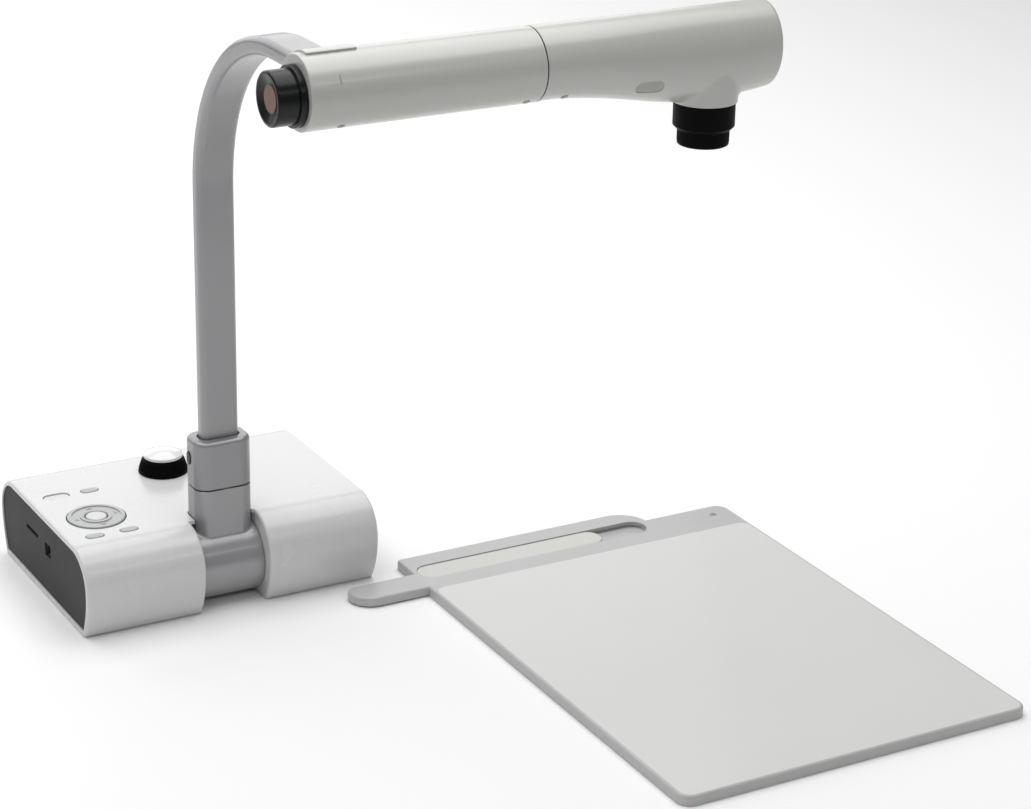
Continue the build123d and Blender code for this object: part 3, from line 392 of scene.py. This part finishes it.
def add_block(mesh, centre, axes, size, rounding):
    """Block with rounded edges, its sides along three directions."""
    turn = Matrix(axes).transposed().to_4x4()
    place = Matrix.Translation(centre) @ turn @ Matrix.Diagonal((*size, 1))
    made = bmesh.ops.create_cube(mesh, size=1, matrix=place)
    edges = {edge for vert in made["verts"] for edge in vert.link_edges}
    bmesh.ops.bevel(
        mesh,
        geom=list(edges),
        offset=rounding,
        segments=2,
        affect="EDGES",
        profile=0.5,
    )


def middle_of(low, high):
    """Middle of a box seen from above."""
    return (low[0] + high[0]) / 2, (low[1] + high[1]) / 2


def add_ribs(name, centre, lower, upper, count, material, body):
    """Grip ribs round a vertical axis, from (radius, z) to (radius, z)."""
    mesh = bmesh.new()
    for step in range(count):
        angle = 2 * pi * step / count
        outward = Vector((cos(angle), sin(angle), 0))
        foot = Vector((centre[0], centre[1], lower[1])) + outward * lower[0]
        head = Vector((centre[0], centre[1], upper[1])) + outward * upper[0]
        along = (head - foot).normalized()
        side = Vector((-sin(angle), cos(angle), 0))
        normal = side.cross(along)
        size = ((head - foot).length, RIB_WIDTH, RIB_HEIGHT)
        add_block(mesh, (foot + head) / 2, (along, side, normal), size, RIB_ROUNDING)
    add_piece(name, mesh, material, body)


def add_bands(mesh, rings):
    """Joins each closed ring of points to the next one."""
    for first, second in zip(rings, rings[1:]):
        for corner in range(len(first)):
            following = (corner + 1) % len(first)
            mesh.faces.new((first[corner], first[following], second[following], second[corner]))


def add_lathe(mesh, centre, axis, profile, count=32):
    """Closed turned form: profile is (radius, height along the axis) from rim to middle."""
    turn = Vector(axis).to_track_quat("Z", "Y").to_matrix()
    rings = []
    for radius, height in profile:
        ring = []
        for step in range(count):
            angle = 2 * pi * step / count
            point = Vector((radius * cos(angle), radius * sin(angle), height))
            ring.append(mesh.verts.new(Vector(centre) + turn @ point))
        rings.append(ring)
    add_bands(mesh, rings)
    mesh.faces.new(rings[-1])
    mesh.faces.new(list(reversed(rings[0])))


def add_grips():
    """Fine ribs on the zoom dial's skirt and on the focus ring."""
    low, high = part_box("zoom_dial")
    middle = middle_of(low, high)
    radius = (high[0] - low[0]) / 2
    foot_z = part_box("upper_cover")[1][2] + DIAL_SKIRT_LIFT
    slope = tan(radians(DIAL_SLOPE))
    rise = high[2] - DIAL_TOP_MARGIN - foot_z
    lower = (radius - DIAL_RIB_SINK, foot_z)
    upper = (radius - DIAL_RIB_SINK - rise * slope, foot_z + rise)
    add_ribs("dial_ribs", middle, lower, upper, DIAL_RIBS, black_matte, "dial")
    low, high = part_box("focus_ring")
    middle = middle_of(low, high)
    radius = (high[0] - low[0]) / 2 - FOCUS_RIB_SINK
    lower = (radius, low[2] + FOCUS_LOW_MARGIN)
    upper = (radius, high[2] - FOCUS_TOP_MARGIN)
    add_ribs("focus_ribs", middle, lower, upper, FOCUS_RIBS, black_matte, "focus")


def add_pad_marks():
    """Four small pointers sunk in the pad ring's groove."""
    low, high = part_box("pad_ring")
    middle = Vector((*middle_of(low, high), high[2] - POINTER_DEPTH))
    mesh = bmesh.new()
    for step in range(4):
        angle = pi / 2 * step
        outward = Vector((cos(angle), sin(angle), 0))
        side = Vector((-sin(angle), cos(angle), 0))
        tip = outward * POINTER_TIP
        foot = outward * POINTER_FOOT
        wing = side * POINTER_HALF_WIDTH
        outline = (tip, foot + wing, foot - wing)
        below = middle - Vector((0, 0, POINTER_BELOW))
        above = middle + Vector((0, 0, POINTER_ABOVE))
        lower = [mesh.verts.new(below + point) for point in outline]
        upper = [mesh.verts.new(above + point * POINTER_TAPER) for point in outline]
        mesh.faces.new(upper)
        mesh.faces.new(list(reversed(lower)))
        add_bands(mesh, (lower, upper))
    bmesh.ops.recalc_face_normals(mesh, faces=mesh.faces)
    add_piece("pad_pointers", mesh, mark_grey, "pad")


def outward_at(tilt):
    """Direction from the tube's axis to its front, tilted up by an angle in degrees."""
    return Vector((0, -cos(radians(tilt)), sin(radians(tilt))))


def add_plugs():
    """Domed plugs over the screw holes under the tube and the head, and the index tick."""
    low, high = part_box("rear_tube")
    middle_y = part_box("lens_barrel")[0][1] / 2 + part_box("lens_barrel")[1][1] / 2
    middle_z = low[2] + TUBE_RADIUS
    outward = outward_at(PLUG_TILT)
    for name, body, spots in (
        ("tube_plugs", "arm", (low[0] + TUBE_PLUG_INSETS[0], high[0] - TUBE_PLUG_INSETS[1])),
        ("head_plug", "head", (high[0] + HEAD_PLUG_OFFSET,)),
    ):
        mesh = bmesh.new()
        for spot in spots:
            centre = Vector((spot, middle_y, middle_z)) + outward * TUBE_RADIUS
            add_lathe(mesh, centre, outward, PLUG_DOME)
        bmesh.ops.recalc_face_normals(mesh, faces=mesh.faces)
        add_piece(name, mesh, mark_grey, body, True)
    mesh = bmesh.new()
    rows = []
    for step in range(TICK_STEPS + 1):
        outward = outward_at(TICK_START + TICK_SWEEP * step / TICK_STEPS)
        row = []
        for across, lift in TICK_SECTION:
            centre = Vector((low[0] + TICK_INSET + across, middle_y, middle_z))
            row.append(mesh.verts.new(centre + outward * (TUBE_RADIUS + lift)))
        rows.append(row)
    add_bands(mesh, rows)
    mesh.faces.new(rows[0])
    mesh.faces.new(rows[-1])
    bmesh.ops.recalc_face_normals(mesh, faces=mesh.faces)
    add_piece("tube_tick", mesh, mark_grey, "arm")


# ---------------------------------------------------------------- stage and light
def add_floor():
    """Plain pale floor."""
    mesh = bmesh.new()
    bmesh.ops.create_grid(mesh, x_segments=2, y_segments=2, size=FLOOR_HALF_SIDE)
    data = bpy.data.meshes.new("floor")
    mesh.to_mesh(data)
    mesh.free()
    floor = bpy.data.objects.new("floor", data)
    floor.location = (0, 0, -FLOOR_DROP)
    bpy.context.scene.collection.objects.link(floor)
    material, _, shader = new_material("floor_paper")
    shader.inputs["Base Color"].default_value = (0.92, 0.92, 0.92, 1)
    shader.inputs["Roughness"].default_value = 0.85
    data.materials.append(material)


def add_light(name, location, target, size, power):
    """Rectangular panel light aimed at a point, hidden from the camera."""
    data = bpy.data.lights.new(name, "AREA")
    data.shape = "RECTANGLE"
    data.size = size[0]
    data.size_y = size[1]
    data.energy = power
    lamp = bpy.data.objects.new(name, data)
    lamp.location = location
    lamp.visible_camera = False
    aim = Vector(target) - Vector(location)
    lamp.rotation_euler = aim.to_track_quat("-Z", "Y").to_euler()
    bpy.context.scene.collection.objects.link(lamp)


def add_lights():
    """Soft studio light: panels above, in front, behind and left, and a pale surround."""
    add_light("top_panel", (0.1, 0.45, 2.4), (0.1, 0.45, 0), (3.0, 3.2), 74)
    add_light("front_panel", (-0.2, -2.0, 1.75), (0.1, -0.1, 0.1), (2.8, 0.25), 6)
    add_light("back_panel", (0.3, 3.2, 1.4), (0.1, 0, 0.1), (4.4, 2.0), 36)
    add_light("left_panel", (-2.4, 0.2, 1.2), (0, -0.1, 0.2), (1.2, 1.4), 4)
    world = bpy.data.worlds.new("surround")
    world.use_nodes = True
    background = world.node_tree.nodes["Background"]
    background.inputs["Color"].default_value = (1, 1, 1, 1)
    background.inputs["Strength"].default_value = 0.20
    bpy.context.scene.world = world
    bpy.context.scene.view_settings.view_transform = "Standard"


add_camera()
dress_nodes()
add_grips()
add_pad_marks()
add_plugs()
add_floor()
add_lights()
